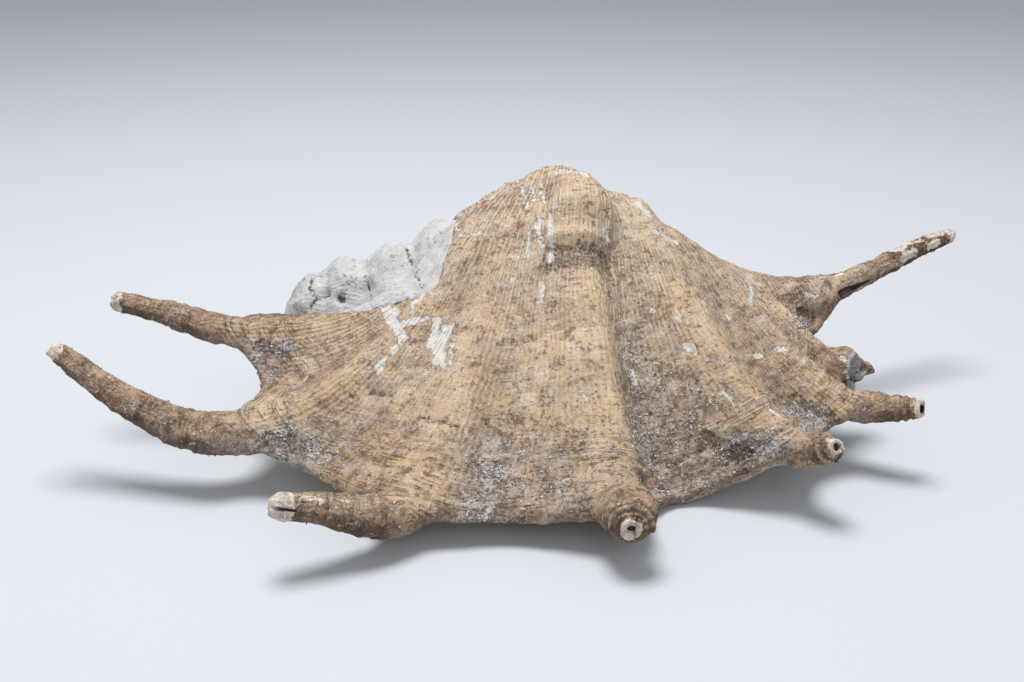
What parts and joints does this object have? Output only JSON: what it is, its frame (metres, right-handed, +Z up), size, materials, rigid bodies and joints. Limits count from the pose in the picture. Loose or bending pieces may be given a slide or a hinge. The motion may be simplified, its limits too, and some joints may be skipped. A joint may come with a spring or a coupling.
{
  "type": "spider conch shell",
  "caption": "Large spider conch shell lying on its aperture, with a worn white spire, a humped whorl and a flared lip drawn out into curved hollow spines.",
  "frame": {"origin": "middle of the bounding box in plan, on the surface that the shell rests on", "axes": "+X from the spire to the siphonal canal, +Y to the rounded back and away from the flared lip, +Z up"},
  "size_m": [0.3318, 0.1842, 0.092],
  "materials": {
    "shell": "rough dried periostracum over calcium carbonate"
  },
  "bodies": {
    "root": {"shell": "shell"}
  },
  "joints": []
}
